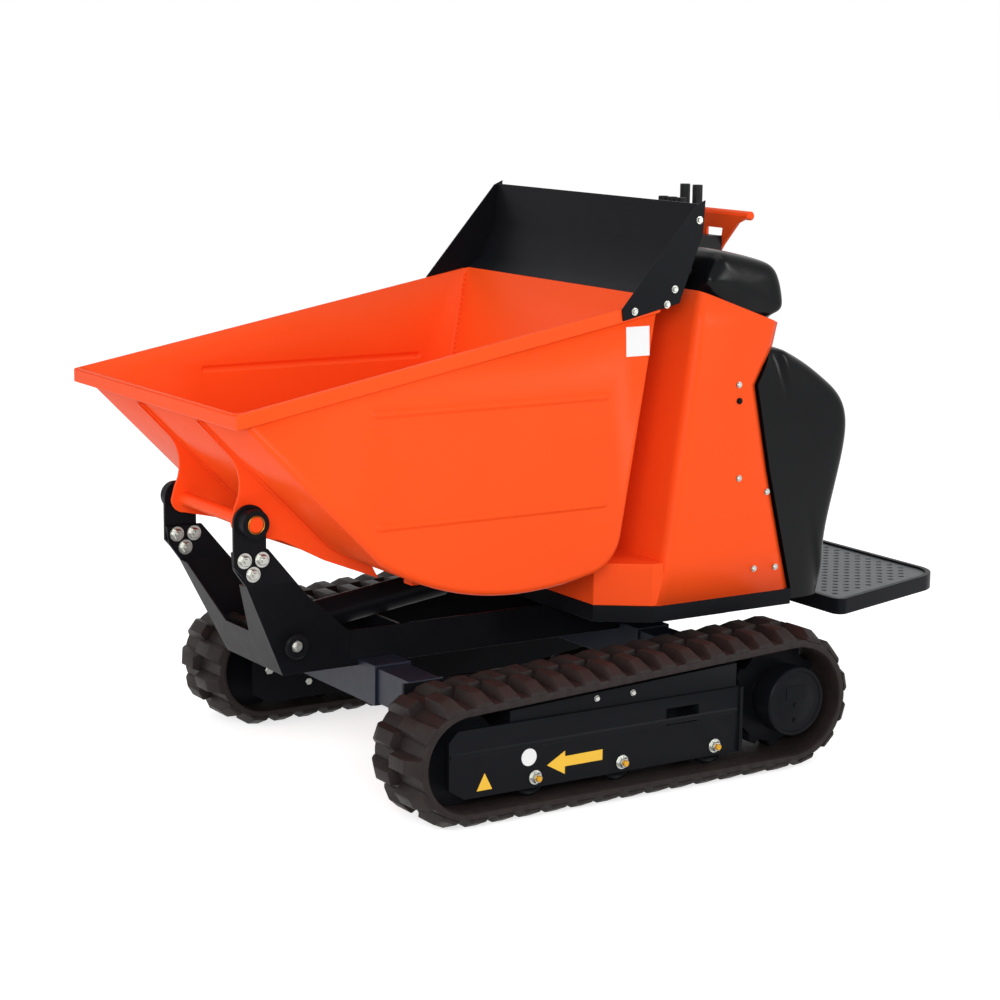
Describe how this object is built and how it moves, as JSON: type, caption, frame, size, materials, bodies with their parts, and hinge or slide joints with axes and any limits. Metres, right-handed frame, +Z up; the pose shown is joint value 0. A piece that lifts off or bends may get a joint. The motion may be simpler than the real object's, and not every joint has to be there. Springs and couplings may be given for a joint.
{
  "type": "tracked mini dumper",
  "caption": "Tracked mini dumper with a front-tipping open skip, rubber crawler tracks on gauge slides, hooded body and a folding operator's platform.",
  "frame": {"origin": "on the ground under the middle of the machine's bounding box", "axes": "+X forward, the way the skip tips; +Y to the machine's left; +Z up"},
  "size_m": [1.8, 1.016, 1.156],
  "materials": {
    "orange_paint": "satin",
    "black_paint": "satin",
    "grey_paint": "satin",
    "gloss_black": "gloss",
    "black_plastic": "matte",
    "zinc": "brushed",
    "chrome": "polished",
    "rubber": "matte"
  },
  "bodies": {
    "chassis": {"main_frame": "black_paint", "front_support": "black_paint", "cylinder_pin": "zinc", "hinge_brackets": "black_paint", "cross_sleeves": "grey_paint", "deck": "black_paint", "body_side_left": "orange_paint", "body_side_right": "orange_paint", "body_front": "orange_paint", "hood": "gloss_black", "hood_knobs": "black_plastic", "rear_cover": "gloss_black", "engine_block": "black_paint", "control_console": "black_plastic", "travel_levers": "black_plastic", "work_levers": "black_plastic", "handle": "orange_paint", "platform_bracket": "black_paint"},
    "skip": {"skip_floor": "orange_paint", "skip_side_left": "orange_paint", "skip_side_right": "orange_paint", "skip_rear": "orange_paint", "skip_rim": "orange_paint", "skip_hinge": "orange_paint", "skip_rails": "orange_paint", "guard_sides": "black_paint", "guard_panel": "black_paint"},
    "tip_barrel": {"cylinder_barrel": "black_paint"},
    "tip_rod": {"cylinder_rod": "chrome"},
    "platform": {"platform_plate": "grey_paint", "platform_rim": "black_paint"},
    "track_left": {"belt_left": "rubber", "track_frame_left": "black_paint", "sprocket_left": "black_paint", "drive_cover_left": "black_paint", "idler_left": "black_paint", "rollers_left": "black_paint", "slide_tubes_left": "grey_paint"},
    "track_right": {"belt_right": "rubber", "track_frame_right": "black_paint", "sprocket_right": "black_paint", "drive_cover_right": "black_paint", "idler_right": "black_paint", "rollers_right": "black_paint", "slide_tubes_right": "grey_paint"}
  },
  "joints": [
    {"name": "skip_tip", "type": "hinge", "parent": "chassis", "child": "skip", "pos_m": [0.77, 0, 0.556], "axis": [0, 1, 0], "range_deg": [0, 75]},
    {"name": "barrel_swing", "type": "hinge", "parent": "chassis", "child": "tip_barrel", "pos_m": [0.669, 0, 0.303], "axis": [0, 1, 0], "range_deg": [0, 66.06]},
    {"name": "rod_slide", "type": "slide", "parent": "tip_barrel", "child": "tip_rod", "axis": [-0.9909, 0, 0.1346], "range_m": [0, 0.3171]},
    {"name": "track_left_slide", "type": "slide", "parent": "chassis", "child": "track_left", "axis": [0, -1, 0], "range_m": [0, 0.12]},
    {"name": "track_right_slide", "type": "slide", "parent": "chassis", "child": "track_right", "axis": [0, 1, 0], "range_m": [0, 0.12]},
    {"name": "platform_fold", "type": "hinge", "parent": "chassis", "child": "platform", "pos_m": [-0.48, 0, 0.285], "axis": [0, 1, 0], "range_deg": [0, 75]}
  ],
  "couplings": [
    {"joint": "barrel_swing", "follows": "skip_tip", "ratio": 0.8742},
    {"joint": "rod_slide", "follows": "skip_tip", "m_per_rad": 0.2407}
  ]
}
